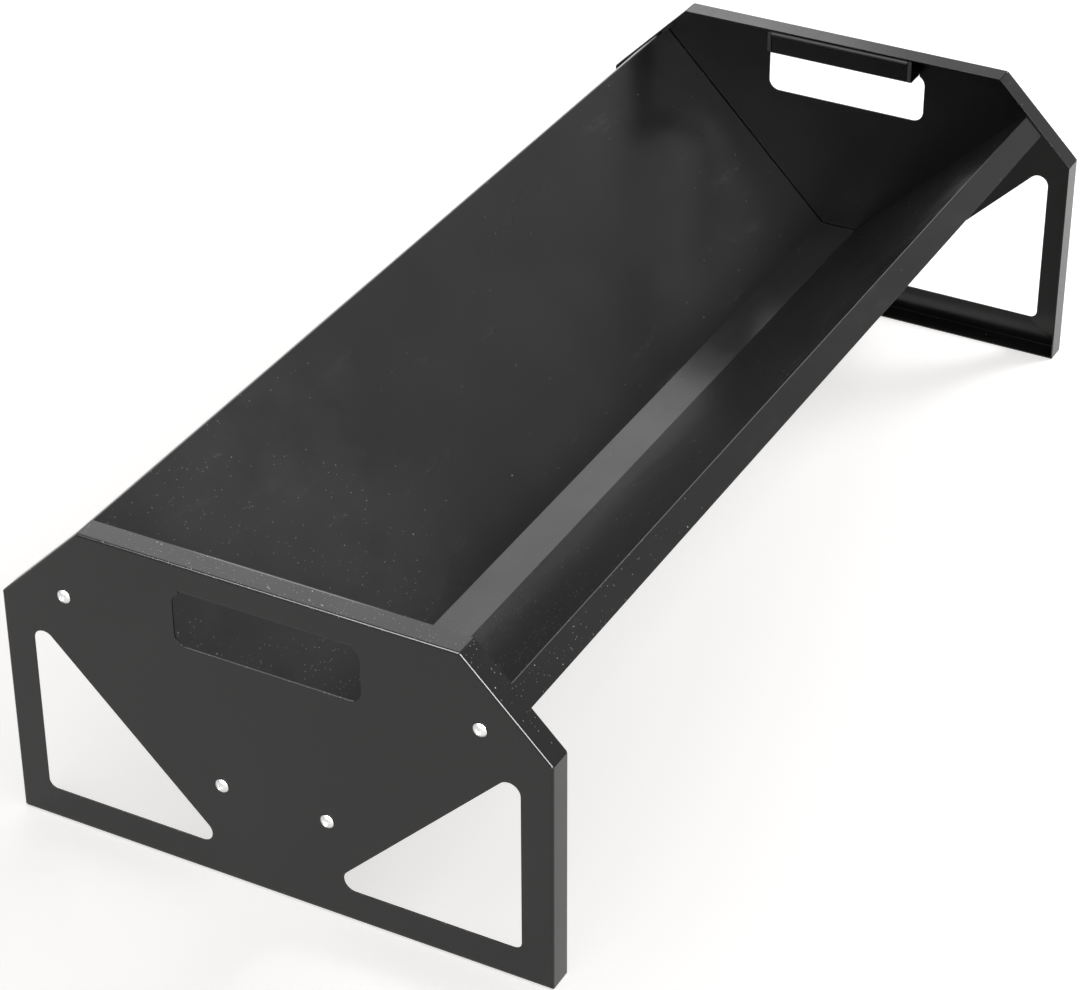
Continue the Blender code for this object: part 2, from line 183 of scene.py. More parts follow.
class FoldedSheet:
    """A sheet held as pairs of points, one on each face, and the regions between them."""

    def __init__(self):
        self.front = []
        self.back = []
        self.faces = []
        # Faces painted paler in place of light: a painted highlight on the grip's rolls, painted light in
        # the trough's end folds
        self.painted_light = set()

    def point(self, front, back):
        self.front.append(Vector(front))
        self.back.append(Vector(back))
        return len(self.front) - 1

    def face(self, corners, normal):
        """Adds a face, wound so that its front looks along normal."""
        if loop_area([self.front[i] for i in corners]).dot(normal) < 0:
            corners = list(reversed(corners))
        self.faces.append(tuple(corners))

    def region(self, loops, normal):
        """Fills the flat region inside the first loop and outside the others."""
        banded = [self.band(loops[0], normal, OUTLINE_BAND, 1)]
        banded += [self.band(loop, normal, OPENING_BAND, -1) for loop in loops[1:]]
        flat = [i for loop in banded for i in loop]
        outlines = [[self.front[i] for i in loop] for loop in banded]
        for triangle in tessellate_polygon(outlines):
            self.face([flat[k] for k in triangle], normal)

    def band(self, loop, normal, width, inside):
        """Adds an even band of faces along a loop, inside it (1) or outside it (-1).

        Returns the band's far loop.
        """
        points = [self.front[i] for i in loop]
        through = self.back[loop[0]] - self.front[loop[0]]
        turn = loop_area(points).normalized() * inside
        far = []
        for i, here in enumerate(points):
            before = (here - points[i - 1]).normalized()
            after = (points[(i + 1) % len(points)] - here).normalized()
            way = (before + after).normalized()
            reach = width / max(way.dot(after), MITRE_LIMIT)
            spot = here + turn.cross(way) * reach
            far.append(self.point(spot, spot + through))
        count = len(loop)
        for i in range(count):
            n = (i + 1) % count
            self.face([loop[i], loop[n], far[n], far[i]], normal)
        return far

    def bend(self, edge, origin, along, out, normal, trims, inner=INNER_RADIUS, painted_light=False):
        """Folds 90 degrees on from edge, a pair of points, away from normal; returns the far edge.

        Positions are origin + along * s + out * a - normal * b. trims gives the two ends' s
        for a given a, the point's distance from the bend's start.
        """
        last = edge
        outer = inner + SHEET
        for step in range(1, BEND_STEPS + 1):
            angle = pi / 2 * step / BEND_STEPS
            front = (outer * sin(angle), outer * (1 - cos(angle)))
            back = (inner * sin(angle), SHEET + inner * (1 - cos(angle)))
            facing = normal * cos(angle) + out * sin(angle)
            last = self.strip(last, origin, along, out, normal, trims, front, back, facing)
            # The fold's faces take the paler paint of painted light
            if painted_light:
                self.painted_light.add(len(self.faces) - 1)
        return last

    def roll(self, edge, origin, along, out, normal, length):
        """Rolls a free edge 270 degrees round towards normal; its faces take the paler paint of a painted
        highlight.
        """
        last = edge
        trims = (lambda a: 0.0, lambda a: length)
        for step in range(1, ROLL_STEPS + 1):
            angle = 1.5 * pi * step / ROLL_STEPS
            front = (ROLL_RADIUS * sin(angle), -ROLL_RADIUS * (1 - cos(angle)))
            back = (ROLL_OUTER * sin(angle), SHEET - ROLL_OUTER * (1 - cos(angle)))
            facing = normal * cos(angle) - out * sin(angle)
            last = self.strip(last, origin, along, out, normal, trims, front, back, facing)
            self.painted_light.add(len(self.faces) - 1)

    def strip(self, edge, origin, along, out, normal, trims, front, back, facing):
        """Adds the two points of one more station and the face that joins it to edge."""
        pair = []
        for trim in trims:
            places = []
            for a, b in (front, back):
                places.append(origin + along * trim(a) + out * a - normal * b)
            pair.append(self.point(*places))
        self.face([edge[0], edge[1], pair[1], pair[0]], facing)
        return pair

    def mesh(self, name, place=None):
        """Closes the sheet: both faces, and a rim along every free edge."""
        count = len(self.front)
        mesh = bpy.data.meshes.new(name)
        faces = list(self.faces)
        faces += [tuple(i + count for i in reversed(face)) for face in self.faces]
        painted_light = self.painted_light | {index + len(self.faces) for index in self.painted_light}
        sides = {}
        for face in self.faces:
            sides.update(dict.fromkeys(zip(face, face[1:] + face[:1])))
        for a, b in sides:
            if (b, a) not in sides:
                faces.append((b, a, a + count, b + count))
        mesh.from_pydata(self.front + self.back, [], faces)
        # Faces of painted light take the second material
        for index in painted_light:
            mesh.polygons[index].material_index = 1
        if place is not None:
            mesh.transform(place)
        mesh.validate()
        mesh.shade_smooth()
        return mesh


def rounded(corners, radii):
    """Rounds the corners of a plane outline and returns its points."""
    points = []
    for i, corner in enumerate(corners):
        here = Vector(corner)
        before = (Vector(corners[i - 1]) - here).normalized()
        after = (Vector(corners[(i + 1) % len(corners)]) - here).normalized()
        half = before.angle(after) / 2
        centre = here + (before + after).normalized() * radii[i] / sin(half)
        start = here + before * radii[i] / tan(half) - centre
        turn = start.angle_signed(here + after * radii[i] / tan(half) - centre)
        for step in range(CORNER_STEPS + 1):
            points.append(centre + Matrix.Rotation(-turn * step / CORNER_STEPS, 2) @ start)
    return points


def circle(centre, radius, sides=ROUND_SIDES):
    turns = [2 * pi * k / sides for k in range(sides)]
    return [Vector((centre[0] + radius * cos(t), centre[1] + radius * sin(t))) for t in turns]


def screw_places():
    """(y, z) of the four screws of one end, read from the frame."""
    places = []
    for number in range(1, 5):
        low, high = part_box(f"screw_left_{number}")
        middle = (low + high) / 2
        places.append((middle.y, middle.z))
    return places


# ---------------------------------------------------------------- end panel

def panel_outline():
    half = WIDTH / 2
    top = half - CHAMFER
    return [(half, 0), (half, SHOULDER), (top, HEIGHT), (-top, HEIGHT), (-half, SHOULDER), (-half, 0)]


def cutout_outline(side):
    outer = WIDTH / 2 - CUTOUT_MARGIN
    corners = [(side * outer, CUTOUT_BOTTOM), (side * outer, outer - CUTOUT_DROP),
               (side * (CUTOUT_BOTTOM + CUTOUT_DROP), CUTOUT_BOTTOM)]
    return rounded(corners, (CUTOUT_CORNER_RADIUS, CUTOUT_TIP_RADIUS, CUTOUT_TIP_RADIUS))


def panel_mesh(name, place):
    """One end panel with its web's outer face on x = 0, folded towards +X, then put in place."""
    sheet = FoldedSheet()
    outward = Vector((-1, 0, 0))

    def web_point(y, z):
        return sheet.point((0, y, z), (SHEET, y, z))

    corners = [Vector((0, y, z)) for y, z in panel_outline()]
    web_loop = []
    for number in range(len(corners)):
        web_loop += fold_panel_flange(sheet, corners, number, web_point, outward)
    slot, grip_edge = slot_loop(web_point)
    holes = [slot]
    for side in (-1, 1):
        holes.append([web_point(*p) for p in cutout_outline(side)])
    for spot in screw_places():
        holes.append([web_point(*p) for p in circle(spot, HOLE_RADIUS)])
    sheet.region([web_loop] + holes, outward)
    fold_grip(sheet, grip_edge, outward)
    return sheet.mesh(name, place)


def fold_panel_flange(sheet, corners, number, web_point, outward):
    """Folds the flange of one side of the web, mitred to leave a seam at each end.

    Returns the two points where it leaves the web.
    """
    count = len(corners)
    start = corners[number]
    end = corners[(number + 1) % count]
    length = (end - start).length
    along = (end - start).normalized()
    out = along.cross(outward)
    if out.dot((start + end) / 2 - Vector((0, 0, HEIGHT / 2))) < 0:
        out = -out
    before = (start - corners[number - 1]).normalized()
    after = (corners[(number + 2) % count] - end).normalized()
    mitres = [tan(before.angle(along) / 2), tan(along.angle(after) / 2)]
    origin = start - out * OUTER_RADIUS
    trims = (lambda a: SEAM_HALF + (OUTER_RADIUS - a) * mitres[0],
             lambda a: length - SEAM_HALF - (OUTER_RADIUS - a) * mitres[1])
    edge = []
    for trim in trims:
        spot = origin + along * trim(0)
        edge.append(web_point(spot.y, spot.z))
    last = sheet.bend(edge, origin, along, out, outward, trims)
    sheet.strip(last, origin, along, out, outward, trims,
                (OUTER_RADIUS, FLANGE), (INNER_RADIUS, FLANGE), out)
    return edge


def slot_loop(web_point):
    """The handle slot's edge, with the two points where the grip folds off its top."""
    corners = [(-SLOT_HALF, SLOT_BOTTOM), (SLOT_HALF, SLOT_BOTTOM),
               (SLOT_HALF, SLOT_TOP), (-SLOT_HALF, SLOT_TOP)]
    beside = GRIP_HALF + RELIEF
    fold = SLOT_TOP + OUTER_RADIUS
    into_arc = beside - (SLOT_HALF - SLOT_RADIUS)
    meets = SLOT_TOP - SLOT_RADIUS + sqrt(SLOT_RADIUS ** 2 - into_arc ** 2)
    kept = [p for p in rounded(corners, [SLOT_RADIUS] * 4)
            if abs(p.x) > beside or p.y < SLOT_BOTTOM + SLOT_RADIUS]
    low_and_right = [p for p in kept if p.y < SLOT_BOTTOM + SLOT_RADIUS or p.x > 0]
    left = [p for p in kept if p not in low_and_right]
    outline = low_and_right + [(beside, meets), (beside, fold), (GRIP_HALF, fold),
                               (-GRIP_HALF, fold), (-beside, fold), (-beside, meets)] + left
    loop = [web_point(*p) for p in outline]
    first = len(low_and_right) + 2
    return loop, [loop[first], loop[first + 1]]


def fold_grip(sheet, edge, outward):
    """Folds the grip in from the slot's top edge, then up, and rolls its three free edges."""
    along = Vector((0, -1, 0))
    down = Vector((0, 0, -1))
    up = -down
    inward = -outward
    ends = (lambda a: 0.0, lambda a: 2 * GRIP_HALF)
    origin = Vector((0, GRIP_HALF, SLOT_TOP + OUTER_RADIUS))
    last = sheet.bend(edge, origin, along, down, outward, ends)
    shelf = FLANGE - OUTER_RADIUS
    last = sheet.strip(last, origin, along, down, outward, ends,
                       (OUTER_RADIUS, shelf), (INNER_RADIUS, shelf), down)
    origin = Vector((shelf, GRIP_HALF, SLOT_TOP))
    last = sheet.bend(last, origin, along, inward, down, ends)

    def plate_point(y, z):
        return sheet.point((FLANGE, y, z), (FLANGE - SHEET, y, z))

    low = SLOT_TOP + OUTER_RADIUS + RELIEF
    roll_start = GRIP_TOP - ROLL_OUTER
    side_half = GRIP_HALF - ROLL_OUTER
    top_half = side_half - ROLL_OUTER - FIT_GAP
    ear = top_half + FIT_GAP
    sides = {}
    ears = {}
    for side in (1, -1):
        sides[side] = [plate_point(side * side_half, z) for z in (low, GRIP_TOP)]
        ears[side] = [plate_point(side * ear, z) for z in (GRIP_TOP, roll_start)]
    top = [plate_point(y, roll_start) for y in (top_half, -top_half)]
    sheet.face([last[0], last[1], *sides[-1], *ears[-1], top[1],
                top[0], *reversed(ears[1]), *reversed(sides[1])], inward)
    for side, pair in sides.items():
        origin = Vector((FLANGE, side * side_half, low))
        sheet.roll(pair, origin, up, Vector((0, side, 0)), inward, GRIP_TOP - low)
    origin = Vector((FLANGE, top_half, roll_start))
    sheet.roll(top, origin, along, up, inward, 2 * top_half)


# ---------------------------------------------------------------- trough

def trough_profile():
    """Stations across the trough as (upper point, lower point) pairs in (y, z), from -Y to +Y.

    Also returns the places along it: where each wall's notch, and each end flange, starts.
    """
    slope = 1 / sqrt(2)
    rim_sum = WIDTH / 2 + SHOULDER - (SHEET + FIT_GAP) / slope
    fold_y = (rim_sum - WALL_RISE) / 2
    floor = WALL_RISE + FLOOR_HALF
    right = [(FLOOR_HALF, floor), (fold_y, fold_y + WALL_RISE),
             (fold_y + LIP * slope, fold_y + WALL_RISE - LIP * slope)]
    corners = [Vector((-y, z)) for y, z in reversed(right)] + [Vector(p) for p in right]
    stations = []
    marks = {}

    def down_side(direction):
        """The side of a leg that faces away from the hay."""
        return Vector((direction.y, -direction.x))

    def add(upper, lower):
        stations.append((upper, lower))
        return len(stations) - 1

    def add_flat(spot, direction):
        return add(spot, spot + down_side(direction) * SHEET)

    add_flat(corners[0], (corners[1] - corners[0]).normalized())
    for i in range(1, 5):
        way_in = (corners[i] - corners[i - 1]).normalized()
        way_out = (corners[i + 1] - corners[i]).normalized()
        turn = way_in.angle_signed(way_out)
        rim = i in (1, 4)
        upper_radius = TROUGH_RADIUS + SHEET * rim
        lower_radius = TROUGH_RADIUS + SHEET * (not rim)
        to_centre = down_side(way_in) if rim else -down_side(way_in)
        start = corners[i] - way_in * upper_radius * tan(abs(turn) / 2)
        centre = start + to_centre * upper_radius
        if i == 4:
            marks["wall_right_top"] = add_flat(corners[4] - way_in * WALL_NOTCH, way_in)
        for step in range(BEND_STEPS + 1):
            arm = Matrix.Rotation(-turn * step / BEND_STEPS, 2) @ (-to_centre)
            index = add(centre + arm * upper_radius, centre + arm * lower_radius)
            if step == 0:
                marks[("enter", i)] = index
        marks[("leave", i)] = index
        if i == 1:
            marks["wall_left_top"] = add_flat(corners[1] + way_out * WALL_NOTCH, way_out)
    add_flat(corners[5], (corners[5] - corners[4]).normalized())
    return stations, marks


def trough_mesh(name):
    stations, marks = trough_profile()
    sheet = FoldedSheet()
    lip_end = LENGTH / 2 - FLANGE + LIP_TUCK
    fold_start = LENGTH / 2 - SHEET - FIT_GAP - TROUGH_RADIUS - SHEET
    wall_span = range(marks["wall_left_top"], marks["wall_right_top"] + 1)

    def points_at(x, span):
        return {k: sheet.point((x, *stations[k][0]), (x, *stations[k][1])) for k in span}

    whole = range(len(stations))
    columns = [points_at(-fold_start, wall_span), points_at(-lip_end, whole),
               points_at(lip_end, whole), points_at(fold_start, wall_span)]
    up = Vector((0, 0, 1))
    for left, right in zip(columns, columns[1:]):
        shared = [k for k in left if k in right]
        for a, b in zip(shared, shared[1:]):
            sheet.face([left[a], left[b], right[b], right[a]], up)
    legs = [("wall_left_top", ("enter", 2)), (("leave", 2), ("enter", 3)),
            (("leave", 3), "wall_right_top")]
    for column, side in ((columns[0], -1), (columns[-1], 1)):
        for first, last in legs:
            pair = [column[marks[first]], column[marks[last]]]
            fold_end_flange(sheet, pair, side, fold_start)
    return sheet.mesh(name)


def fold_end_flange(sheet, edge, side, fold_start):
    """Folds one flange down the outside of the trough at its end, with its screw holes."""
    start, end = (sheet.front[i].copy() for i in edge)
    along = (end - start).normalized()
    out = Vector((side, 0, 0))
    normal = along.cross(out)
    if normal.z < 0:
        normal = -normal
    length = (end - start).length
    ends = (lambda a: 0.0, lambda a: length)
    # The fold takes the paler paint: painted light that lifts the shade in the seam against the panel
    last = sheet.bend(edge, start, along, out, normal, ends, TROUGH_RADIUS, True)
    face_x = side * (fold_start + TROUGH_RADIUS + SHEET)
    back_x = face_x - side * SHEET

    def flange_point(y, z):
        return sheet.point((face_x, y, z), (back_x, y, z))

    drop = normal * END_FLANGE
    tips = [flange_point(p.y, p.z) for p in (end - drop, start - drop)]
    holes = []
    for y, z in screw_places():
        spot = Vector((start.x, y, z))
        reach = (spot - start).dot(along)
        depth = (start - spot).dot(normal)
        if 0 < reach < length and 0 < depth < END_FLANGE:
            holes.append([flange_point(*p) for p in circle((y, z), HOLE_RADIUS)])
    sheet.region([[last[0], last[1], *tips]] + holes, out)


# ---------------------------------------------------------------- fasteners

def ringed_mesh(name, rings, hollow=False):
    """Joins rings of points into a surface: a ring of one point closes an end.

    When hollow, the last ring joins the first.
    """
    bm = bmesh.new()
    made = [[bm.verts.new(p) for p in ring] for ring in rings]
    pairs = list(zip(made, made[1:]))
    if hollow:
        pairs.append((made[-1], made[0]))
    for low, high in pairs:
        sides = max(len(low), len(high))
        for k in range(sides):
            n = (k + 1) % sides
            if len(low) == 1:
                bm.faces.new((low[0], high[k], high[n]))
            elif len(high) == 1:
                bm.faces.new((low[n], low[k], high[0]))
            else:
                bm.faces.new((low[k], high[k], high[n], low[n]))
    bmesh.ops.recalc_face_normals(bm, faces=bm.faces)
    mesh = bpy.data.meshes.new(name)
    bm.to_mesh(mesh)
    bm.free()
    mesh.shade_smooth()
    mesh.set_sharp_from_angle(angle=SHARP_ANGLE)
    return mesh


def ring(x, radius):
    """A ring about the X axis; radius is a number, or a function of the turn."""
    points = []
    for k in range(ROUND_SIDES):
        turn = 2 * pi * k / ROUND_SIDES
        r = radius(turn) if callable(radius) else radius
        points.append(Vector((x, r * cos(turn), r * sin(turn))))
    return points


def hexagon(flats):
    """The radius of a hexagon, as a function of the turn, with its tips a little rounded."""
    def radius(turn):
        off = (turn % (pi / 3)) - pi / 6
        return min(flats / 2 / cos(off), flats / 2 / cos(pi / 6) * HEXAGON_TIP)
    return radius


def screw_mesh(head_radius, head_height, tip):
    """A domed head with a hexagon recess towards -X, and a threaded shank towards +X."""
    recess = hexagon(RECESS_FLATS)
    mouth = hexagon(RECESS_MOUTH)
    widest = RECESS_FLATS / 2 / cos(pi / 6) + RECESS_LAND
    rise = head_height - HEAD_RIM
    centre = (head_radius ** 2 - widest ** 2 - rise ** 2) / (2 * rise)
    sphere = sqrt(head_radius ** 2 + centre ** 2)

    def dome(radius):
        return centre - HEAD_RIM - sqrt(sphere ** 2 - radius ** 2)

    top = dome(widest)
    floor = top + RECESS_DEPTH
    rings = [[Vector((floor + DRILL_POINT, 0, 0))]]
    rings.append(ring(floor, lambda t: recess(t) * RECESS_TAPER))
    rings.append(ring(top + RECESS_CHAMFER, recess))
    rings.append(ring(top, mouth))
    for step in range(DOME_STEPS + 1):
        radius = widest + (head_radius - widest) * step / DOME_STEPS
        rings.append(ring(dome(radius), radius))
    rings.append(ring(-HEAD_BEVEL, head_radius))
    rings.append(ring(0, head_radius - HEAD_BEVEL))
    rings.append(ring(0, SHANK_RADIUS + NECK_FILLET))
    rings.append(ring(NECK_FILLET, SHANK_RADIUS))
    rings += thread_rings(tip)
    rings.append(ring(tip, SHANK_RADIUS - TIP_CHAMFER))
    rings.append([Vector((tip, 0, 0))])
    return ringed_mesh("screw_detail", rings)


def thread_rings(tip):
    """The thread, which fades in after the plain shank and runs out at the tapered tip."""
    rings = []
    count = int((tip - PLAIN_SHANK) / THREAD_PITCH * THREAD_STEPS)
    for step in range(count + 1):
        x = PLAIN_SHANK + step * THREAD_PITCH / THREAD_STEPS
        fade = min(1.0, step / THREAD_STEPS, (count - step) / THREAD_STEPS + RUN_OUT)
        taper = TIP_TAPER * (1 - fade) if step > count / 2 else 0.0

        def thread(turn, x=x, fade=fade, taper=taper):
            phase = (x / THREAD_PITCH - turn / (2 * pi)) % 1.0
            groove = 1 - abs(2 * phase - 1)
            return SHANK_RADIUS - THREAD_DEPTH * fade * groove - taper

        rings.append(ring(x, thread))
    return rings


def washer_mesh(radius, thickness):
    bore = SHANK_RADIUS + FIT_GAP
    edge = WASHER_EDGE
    corners = [(bore + edge, 0), (radius - edge, 0), (radius, edge), (radius, thickness - edge),
               (radius - edge, thickness), (bore + edge, thickness), (bore, thickness - edge), (bore, edge)]
    return ringed_mesh("washer_detail", [ring(x, r) for r, x in corners], hollow=True)


def nut_mesh(thickness):
    """A hexagon nut whose corners are turned down on both faces, with a chamfered bore."""
    bore = SHANK_RADIUS + FIT_GAP / 2
    side = hexagon(NUT_FLATS)
    face_radius = NUT_FLATS / 2 * NUT_FACE
    fall = tan(NUT_CHAMFER)

    def corner_ring(from_end, towards):
        points = []
        for k in range(ROUND_SIDES):
            turn = 2 * pi * k / ROUND_SIDES
            r = side(turn)
            x = from_end + towards * (r - face_radius) * fall
            points.append(Vector((x, r * cos(turn), r * sin(turn))))
        return points

    rings = [ring(BORE_CHAMFER, bore), ring(0, bore + BORE_CHAMFER)]
    rings += [ring(0, face_radius), corner_ring(0, 1)]
    rings += [corner_ring(thickness, -1), ring(thickness, face_radius)]
    rings += [ring(thickness, bore + BORE_CHAMFER), ring(thickness - BORE_CHAMFER, bore)]
    return ringed_mesh("nut_detail", rings, hollow=True)


# ---------------------------------------------------------------- materials

class Nodes:
    """Short words for building a material's node tree."""

    def __init__(self, name):
        self.material = bpy.data.materials.new(name)
        self.material.use_nodes = True
        self.tree = self.material.node_tree
        self.shader = self.tree.nodes["Principled BSDF"]
        self.place = self.new("ShaderNodeTexCoord").outputs["Object"]

    def new(self, kind, **settings):
        node = self.tree.nodes.new(kind)
        for key, value in settings.items():
            setattr(node, key, value)
        return node

    def link(self, source, target):
        self.tree.links.new(source, target)

    def feed(self, socket, value):
        if hasattr(value, "links"):
            self.link(value, socket)
        else:
            socket.default_value = value

    def noise(self, scale, detail=3.0, rough=0.5, place=None):
        node = self.new("ShaderNodeTexNoise")
        node.inputs["Scale"].default_value = scale
        node.inputs["Detail"].default_value = detail
        node.inputs["Roughness"].default_value = rough
        self.link(place or self.place, node.inputs["Vector"])
        return node.outputs["Fac"]

    def math(self, operation, a, b=0.0, clamp=False):
        node = self.new("ShaderNodeMath", operation=operation, use_clamp=clamp)
        self.feed(node.inputs[0], a)
        self.feed(node.inputs[1], b)
        return node.outputs[0]

    def plus(self, a, b, clamp=False):
        return self.math("ADD", a, b, clamp)

    def times(self, a, b, clamp=False):
        return self.math("MULTIPLY", a, b, clamp)

    def span(self, value, low, high, to_low=0.0, to_high=1.0):
        """Maps low..high of value smoothly onto to_low..to_high."""
        node = self.new("ShaderNodeMapRange", interpolation_type="SMOOTHSTEP")
        self.feed(node.inputs["Value"], value)
        for key, number in (("From Min", low), ("From Max", high), ("To Min", to_low), ("To Max", to_high)):
            self.feed(node.inputs[key], number)
        return node.outputs["Result"]

    def mix(self, factor, a, b):
        node = self.new("ShaderNodeMix", data_type="RGBA")
        self.feed(node.inputs["Factor"], factor)
        sockets = [s for s in node.inputs if s.type == "RGBA"]
        self.feed(sockets[0], a)
        self.feed(sockets[1], b)
        return [s for s in node.outputs if s.type == "RGBA"][0]

    def stretch(self, factors):
        node = self.new("ShaderNodeVectorMath", operation="MULTIPLY")
        self.link(self.place, node.inputs[0])
        node.inputs[1].default_value = factors
        return node.outputs[0]

    def split(self, vector):
        """The X, Y and Z of a vector."""
        node = self.new("ShaderNodeSeparateXYZ")
        self.link(vector, node.inputs[0])
        return node.outputs["X"], node.outputs["Y"], node.outputs["Z"]

    def upward(self):
        """1 where the surface faces up, 0 where it is upright."""
        normal = self.new("ShaderNodeNewGeometry").outputs["Normal"]
        return self.span(self.split(normal)[2], 0.25, 0.65)

    def specks(self, scale, share, size):
        """Round specks in the given share of cells of 1 / scale metres; size is in cells."""
        node = self.new("ShaderNodeTexVoronoi", feature="F1")
        node.inputs["Scale"].default_value = scale
        self.link(self.place, node.inputs["Vector"])
        split = self.new("ShaderNodeSeparateColor")
        self.link(node.outputs["Color"], split.inputs[0])
        chosen = self.math("LESS_THAN", split.outputs[0], share)
        radius = self.times(self.span(split.outputs[1], 0.0, 1.0, size * 0.45, size), chosen)
        inside = self.math("SUBTRACT", radius, node.outputs["Distance"])
        return self.times(inside, SPECK_SHARPNESS, clamp=True)

    def bump(self, layers):
        """One bump from several layers; each is (height, depth in millimetres)."""
        total = None
        for height, depth in layers:
            layer = self.times(height, depth)
            total = layer if total is None else self.plus(total, layer)
        node = self.new("ShaderNodeBump")
        node.inputs["Strength"].default_value = 1.0
        node.inputs["Distance"].default_value = 0.001
        self.link(total, node.inputs["Height"])
        self.link(node.outputs["Normal"], self.shader.inputs["Normal"])


def grey(value, warmth=0.0):
    return (value * (1 + warmth), value, value * (1 - warmth), 1.0)


def paint_material(name, base=0.0035, grit=1.0, cover=0.38, drift=0.0, pale_patch=0.0, dull=0.0, edge_highlight=0.0):
    """Semi-gloss black powder coat with orange peel, light dust, wipe marks, a paler patch on one wall and
    a painted highlight along one flange edge.

    grit is the strength of the specks, a lower cover spreads them wider, and drift gathers more of
    them on the -Y lip near the -X end. pale_patch is the strength of the paler patch on the +Y wall
    near the -X end, dull adds to the roughness, and edge_highlight is the strength of the painted
    highlight along the free edge of the -X panel's top flange.
    """
    n = Nodes(name)
    place = n.split(n.place)
    up = n.upward()
    near = n.times(n.plus(place[0], -SPECKS_START), -SPECKS_RISE, clamp=True)
    cloud = n.noise(scale=9.0, detail=3.0, rough=0.6)
    wiped = n.noise(scale=1.0, detail=4.0, rough=0.7, place=n.stretch((9.0, 42.0, 42.0)))
    speck = n.times(paint_specks(n, place, near, cloud, grit, cover, drift), up)
    dust_and_highlight = n.plus(n.times(n.times(n.span(wiped, 0.52, 0.78), n.span(cloud, 0.42, 0.7)), 0.05), 0.012)
    if pale_patch:
        dust_and_highlight = n.plus(dust_and_highlight, n.times(pale_wall_patch(n, place, cloud), pale_patch))
    # A painted highlight along the free edge of the -X panel's top flange
    if edge_highlight:
        dust_and_highlight = n.plus(dust_and_highlight, n.times(painted_edge_highlight(n, place, near), edge_highlight))
    body = n.mix(n.span(cloud, 0.3, 0.7), grey(base, 0.03), grey(base * 1.4, 0.02))
    # Dust and the painted highlight pale the coat on upward faces
    dust_and_highlight_coat = n.mix(n.times(dust_and_highlight, up), body, grey(0.40, 0.02))
    n.link(n.mix(speck, dust_and_highlight_coat, grey(0.60, 0.01)), n.shader.inputs["Base Color"])
    mottle = n.noise(scale=13.0, detail=3.0, rough=0.55)
    gloss = n.plus(n.span(mottle, 0.3, 0.7, 0.20, 0.25), n.span(wiped, 0.5, 0.8, 0.0, 0.05))
    gloss = n.plus(gloss, n.times(speck, 0.4))
    n.link(n.plus(gloss, dull) if dull else gloss, n.shader.inputs["Roughness"])
    n.shader.inputs["IOR"].default_value = 1.3 if dull else 1.45
    waves = n.noise(scale=7.0, detail=1.0, rough=0.4)
    peel = n.noise(scale=420.0, detail=2.0, rough=0.5)
    n.bump([(waves, 0.45), (peel, 0.022), (speck, 0.06)])
    return n.material


def paint_specks(n, place, near, cloud, grit, cover, drift):
    """Pale specks of two sizes, most of them in patches near the -X end; 1 inside a speck."""
    across = place[1]
    patch = n.times(near, n.span(cloud, cover, cover + 0.18))
    patch = n.times(patch, n.span(across, *STEEP_SPECKS, 0.45, 1.0))
    if drift:
        lip = n.times(n.times(near, near), n.span(across, *LIP_SPECKS, drift, 0.0))
        patch = n.math("MAXIMUM", patch, lip)
    large = n.specks(scale=150.0, share=n.plus(n.times(patch, 0.22 * grit), 0.006), size=0.13)
    small = n.specks(scale=290.0, share=n.plus(n.times(patch, 0.60 * grit), 0.010), size=0.22)
    return n.plus(n.times(large, 0.60 * grit), n.times(small, 0.22 * grit), clamp=True)


def pale_wall_patch(n, place, cloud):
    """A broad soft paler patch on the +Y wall, strongest round PATCH_MIDDLE."""
    away = n.math("ABSOLUTE", n.plus(place[0], -PATCH_MIDDLE))
    patch = n.times(n.span(away, *PATCH_FADE, 1.0, 0.25), n.span(place[1], *PATCH_ACROSS, 0.15, 1.0))
    return n.times(patch, n.span(cloud, 0.25, 0.6, 0.4))


def painted_edge_highlight(n, place, near):
    """A painted highlight: a pale line along the free edge of the -X panel's top flange, standing in for
    the light its rounded edge catches.
    """
    along, across, up = place
    free_edge = FLANGE - LENGTH / 2
    line = n.span(along, free_edge - HIGHLIGHT_WIDTH[0], free_edge - HIGHLIGHT_WIDTH[1])
    line = n.times(line, n.span(up, HEIGHT - HIGHLIGHT_DEPTH[0], HEIGHT - HIGHLIGHT_DEPTH[1]))
    highlight_stretch = n.times(n.span(across, *HIGHLIGHT_END, 1.0, 0.0), n.span(across, *HIGHLIGHT_START))
    return n.times(line, n.times(highlight_stretch, near))


def zinc_material(name, colour, rough):
    """Bright zinc plate: cloudy passivation, fine grain and a little dull wear."""
    n = Nodes(name)
    cloud = n.noise(scale=420.0, detail=4.0, rough=0.6)
    fine = n.noise(scale=2600.0, detail=3.0, rough=0.6)
    tone = n.mix(n.span(cloud, 0.35, 0.7), grey(colour), grey(colour * 0.82, 0.015))
    n.link(tone, n.shader.inputs["Base Color"])
    n.link(n.span(fine, 0.3, 0.7, rough * 0.8, rough * 1.35), n.shader.inputs["Roughness"])
    n.shader.inputs["Metallic"].default_value = 1.0
    n.bump([(cloud, 0.02), (fine, 0.008)])
    return n.material


# ---------------------------------------------------------------- pieces

def add_piece(name, mesh, material, nodes, place=None):
    piece = bpy.data.objects.new(name, mesh)
    if not mesh.materials:
        mesh.materials.append(material)
    bpy.context.scene.collection.objects.link(piece)
    if place is not None:
        piece.matrix_world = place
    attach(piece, "root")
    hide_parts(*nodes)
    return piece


def finish_sheet(piece):
    """Rounds the cut edges and keeps the flats' shading flat."""
    edge = piece.modifiers.new("edge_rounding", "BEVEL")
    edge.width = EDGE_ROUNDING
    edge.segments = 2
    edge.limit_method = "ANGLE"
    edge.angle_limit = CUT_EDGE_ANGLE
    edge.use_clamp_overlap = False
    piece.modifiers.new("flat_shading", "WEIGHTED_NORMAL").keep_sharp = True


